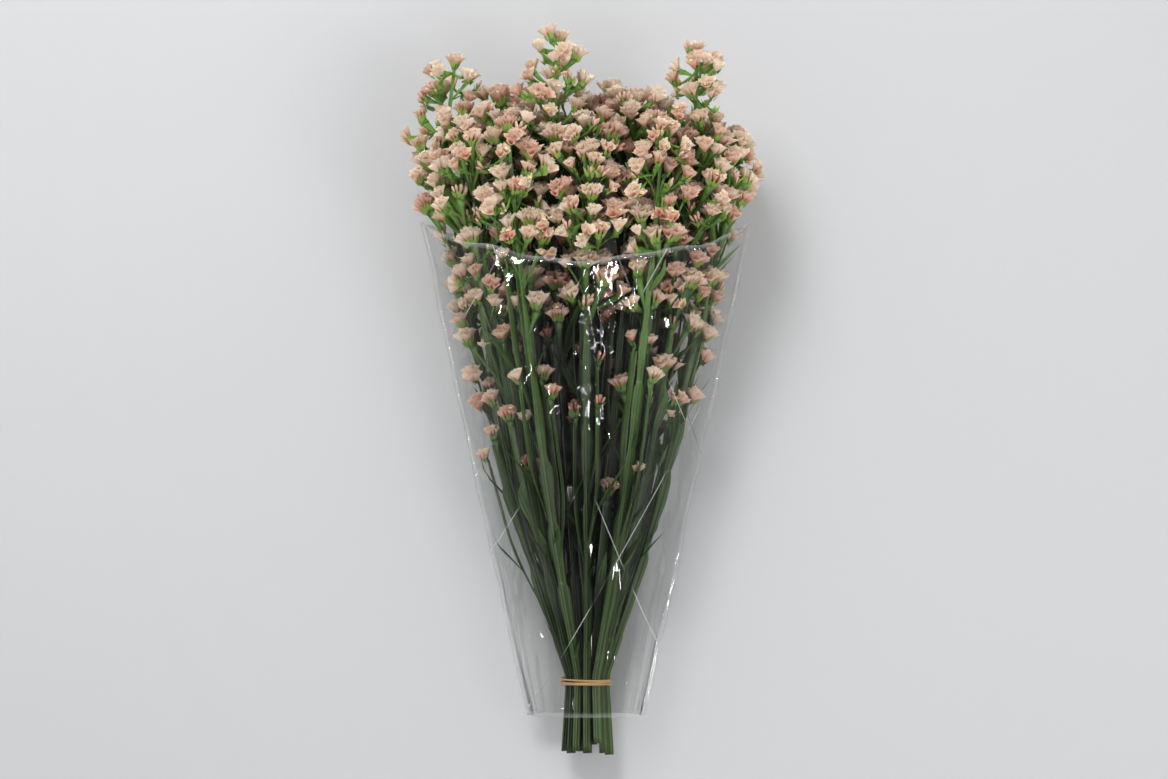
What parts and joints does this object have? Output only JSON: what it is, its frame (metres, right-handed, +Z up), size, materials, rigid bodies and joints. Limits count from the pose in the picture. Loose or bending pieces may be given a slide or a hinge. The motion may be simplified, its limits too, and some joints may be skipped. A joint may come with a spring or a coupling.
{
  "type": "sleeved bunch of statice",
  "caption": "Cut statice lying on its side: winged green stems banded at the foot, open branched heads of peach papery flower combs, in a tapered clear film sleeve.",
  "frame": {"origin": "middle of the whole lying bunch, on the surface it lies on", "axes": "+Z up from the surface, +Y along the stems from the cut ends to the flowers, +X across the bunch"},
  "size_m": [0.3156, 0.6504, 0.1823],
  "materials": {
    "stem_green": null,
    "flower_peach": "dry papery petals, matte, slightly translucent",
    "clear_film": "clear crinkled polypropylene film",
    "rubber_band": "matte natural rubber"
  },
  "bodies": {
    "root": {"stalk_01": "stem_green", "stalk_02": "stem_green", "stalk_03": "stem_green", "stalk_04": "stem_green", "stalk_05": "stem_green", "stalk_06": "stem_green", "stalk_07": "stem_green", "stalk_08": "stem_green", "stalk_09": "stem_green", "stalk_10": "stem_green", "stalk_11": "stem_green", "stalk_12": "stem_green", "stalk_13": "stem_green", "stalk_14": "stem_green", "stalk_15": "stem_green", "stalk_16": "stem_green", "stalk_17": "stem_green", "stalk_18": "stem_green", "stalk_19": "stem_green", "head_01": "flower_peach", "head_02": "flower_peach", "head_03": "flower_peach", "head_04": "flower_peach", "head_05": "flower_peach", "head_06": "flower_peach", "head_07": "flower_peach", "head_08": "flower_peach", "head_09": "flower_peach", "head_10": "flower_peach", "head_11": "flower_peach", "head_12": "flower_peach", "head_13": "flower_peach", "head_14": "flower_peach", "head_15": "flower_peach", "head_16": "flower_peach", "head_17": "flower_peach", "head_18": "flower_peach", "head_19": "flower_peach", "sleeve": "clear_film", "band": "rubber_band"}
  },
  "joints": []
}
